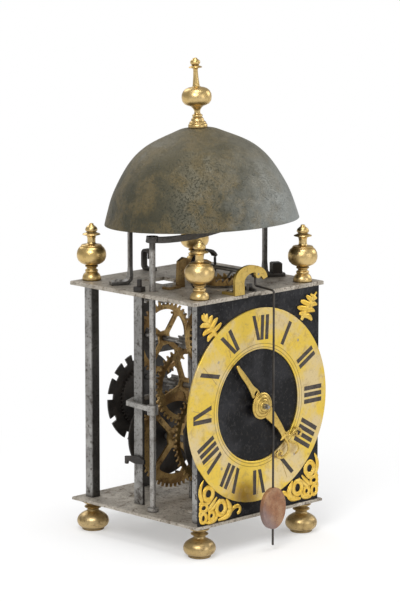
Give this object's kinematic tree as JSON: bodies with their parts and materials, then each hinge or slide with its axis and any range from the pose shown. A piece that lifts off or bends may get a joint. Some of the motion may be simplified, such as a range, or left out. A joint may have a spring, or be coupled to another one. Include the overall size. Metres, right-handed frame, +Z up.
{
  "type": "lantern clock",
  "caption": "Weight-driven lantern clock with an open iron frame, a round chapter ring, a verge escapement with a pendulum in front, and a hammer under a domed bell.",
  "frame": {"origin": "on the floor below the middle of the whole clock's box", "axes": "+Z up, +X to the right of a viewer facing the dial, the dial faces -Y"},
  "size_m": [0.1678, 0.1729, 0.4011],
  "materials": {
    "gilt_brass": "polished",
    "wheel_brass": "satin",
    "plate_iron": "satin",
    "pillar_iron": "satin",
    "black_iron": "satin",
    "bell_bronze": "satin",
    "dial_iron": "satin",
    "arbor_steel": "satin",
    "bob_iron": "satin"
  },
  "bodies": {
    "frame": {"base_plate": "plate_iron", "top_plate": "plate_iron", "pillar_front_left": "pillar_iron", "pillar_front_right": "pillar_iron", "pillar_back_left": "pillar_iron", "pillar_back_right": "pillar_iron", "foot_front_left": "gilt_brass", "foot_front_right": "gilt_brass", "foot_back_left": "gilt_brass", "foot_back_right": "gilt_brass", "finial_front_left": "gilt_brass", "finial_front_right": "gilt_brass", "finial_back_left": "gilt_brass", "finial_back_right": "gilt_brass", "bell": "bell_bronze", "bell_finial": "gilt_brass", "bell_strap": "pillar_iron", "screws": "arbor_steel", "square_nuts": "pillar_iron", "dial_plate": "dial_iron", "chapter_ring": "gilt_brass", "spandrels": "gilt_brass", "front_bar": "pillar_iron", "middle_bar": "pillar_iron", "rear_bar": "pillar_iron", "bar_wedge": "black_iron", "side_strip": "pillar_iron", "front_cock": "gilt_brass", "rear_cock": "gilt_brass", "potence": "pillar_iron", "wall_hook": "black_iron", "staple": "black_iron", "hammer_spring": "black_iron"},
    "going_great": {"going_great_wheel": "wheel_brass", "going_great_arbor": "arbor_steel", "going_pulley": "black_iron"},
    "going_second": {"going_second_wheel": "wheel_brass", "going_second_arbor": "arbor_steel"},
    "contrate": {"contrate_wheel": "wheel_brass", "contrate_arbor": "arbor_steel"},
    "crown": {"crown_wheel": "wheel_brass", "crown_arbor": "arbor_steel"},
    "verge": {"verge_staff": "arbor_steel", "pendulum_rod": "black_iron"},
    "bob": {"pendulum_bob": "bob_iron"},
    "hour": {"hour_wheel": "wheel_brass", "hour_arbor": "arbor_steel"},
    "hand": {"hour_hand": "pillar_iron"},
    "strike_great": {"strike_great_wheel": "wheel_brass", "strike_great_arbor": "arbor_steel", "strike_pulley": "black_iron"},
    "strike_second": {"strike_second_wheel": "wheel_brass", "strike_second_arbor": "arbor_steel"},
    "strike_third": {"strike_third_wheel": "wheel_brass", "strike_third_arbor": "arbor_steel"},
    "fly": {"fly": "arbor_steel"},
    "count": {"count_wheel": "black_iron"},
    "detent": {"detent": "black_iron"},
    "hammer": {"hammer": "black_iron"},
    "trip": {"trip_lever": "black_iron"}
  },
  "joints": [
    {"name": "going_great_spin", "type": "hinge", "parent": "frame", "child": "going_great", "pos_m": [-0.0028, -0.012, 0.0874], "axis": [0, -1, 0], "continuous": true},
    {"name": "going_second_spin", "type": "hinge", "parent": "frame", "child": "going_second", "pos_m": [-0.0028, -0.038, 0.1362], "axis": [0, -1, 0], "continuous": true},
    {"name": "contrate_spin", "type": "hinge", "parent": "frame", "child": "contrate", "pos_m": [-0.0028, -0.012, 0.173], "axis": [0, -1, 0], "continuous": true},
    {"name": "crown_spin", "type": "hinge", "parent": "frame", "child": "crown", "pos_m": [-0.0028, -0.023, 0.2019], "axis": [0, 0, 1], "continuous": true},
    {"name": "hour_spin", "type": "hinge", "parent": "frame", "child": "hour", "pos_m": [-0.0028, -0.0615, 0.11995], "axis": [0, -1, 0], "continuous": true},
    {"name": "hand_set", "type": "hinge", "parent": "hour", "child": "hand", "pos_m": [-0.0028, -0.0698, 0.11995], "axis": [0, -1, 0], "continuous": true},
    {"name": "verge_swing", "type": "hinge", "parent": "frame", "child": "verge", "pos_m": [-0.0028, -0.032, 0.2294], "axis": [0, -1, 0], "range_deg": [-12, 12]},
    {"name": "bob_rating", "type": "slide", "parent": "verge", "child": "bob", "axis": [0, 0, 1], "range_m": [-0.01, 0.01]},
    {"name": "strike_great_spin", "type": "hinge", "parent": "frame", "child": "strike_great", "pos_m": [-0.0028, 0.032, 0.0769], "axis": [0, -1, 0], "continuous": true},
    {"name": "strike_second_spin", "type": "hinge", "parent": "frame", "child": "strike_second", "pos_m": [-0.0028, 0.021, 0.1241], "axis": [0, -1, 0], "continuous": true},
    {"name": "strike_third_spin", "type": "hinge", "parent": "frame", "child": "strike_third", "pos_m": [-0.0028, 0.0455, 0.1609], "axis": [0, -1, 0], "continuous": true},
    {"name": "fly_spin", "type": "hinge", "parent": "frame", "child": "fly", "pos_m": [-0.0028, 0.058, 0.1961], "axis": [0, -1, 0], "continuous": true},
    {"name": "count_spin", "type": "hinge", "parent": "frame", "child": "count", "pos_m": [-0.0028, 0.0725, 0.1064], "axis": [0, -1, 0], "continuous": true},
    {"name": "detent_drop", "type": "hinge", "parent": "frame", "child": "detent", "pos_m": [0.0347, 0.008, 0.1474], "axis": [0, 1, 0], "range_deg": [-7.7, 0]},
    {"name": "hammer_swing", "type": "hinge", "parent": "frame", "child": "hammer", "pos_m": [-0.0613, -0.002, 0.1484], "axis": [0, 0, 1], "range_deg": [-2.2, 20], "stiffness_Nm_per_rad": 0.05},
    {"name": "trip_swing", "type": "hinge", "parent": "frame", "child": "trip", "pos_m": [-0.0533, 0.025, 0.0664], "axis": [1, 0, 0], "range_deg": [-12, 15]}
  ],
  "couplings": [
    {"joint": "going_second_spin", "follows": "going_great_spin", "ratio": -7.7143},
    {"joint": "contrate_spin", "follows": "going_great_spin", "ratio": 51.429},
    {"joint": "crown_spin", "follows": "going_great_spin", "ratio": 325.71},
    {"joint": "hour_spin", "follows": "going_great_spin", "ratio": -0.11111},
    {"joint": "strike_second_spin", "follows": "strike_great_spin", "ratio": -7.4286},
    {"joint": "strike_third_spin", "follows": "strike_great_spin", "ratio": 49.524},
    {"joint": "fly_spin", "follows": "strike_great_spin", "ratio": -313.65},
    {"joint": "count_spin", "follows": "strike_great_spin", "ratio": -0.16667}
  ]
}
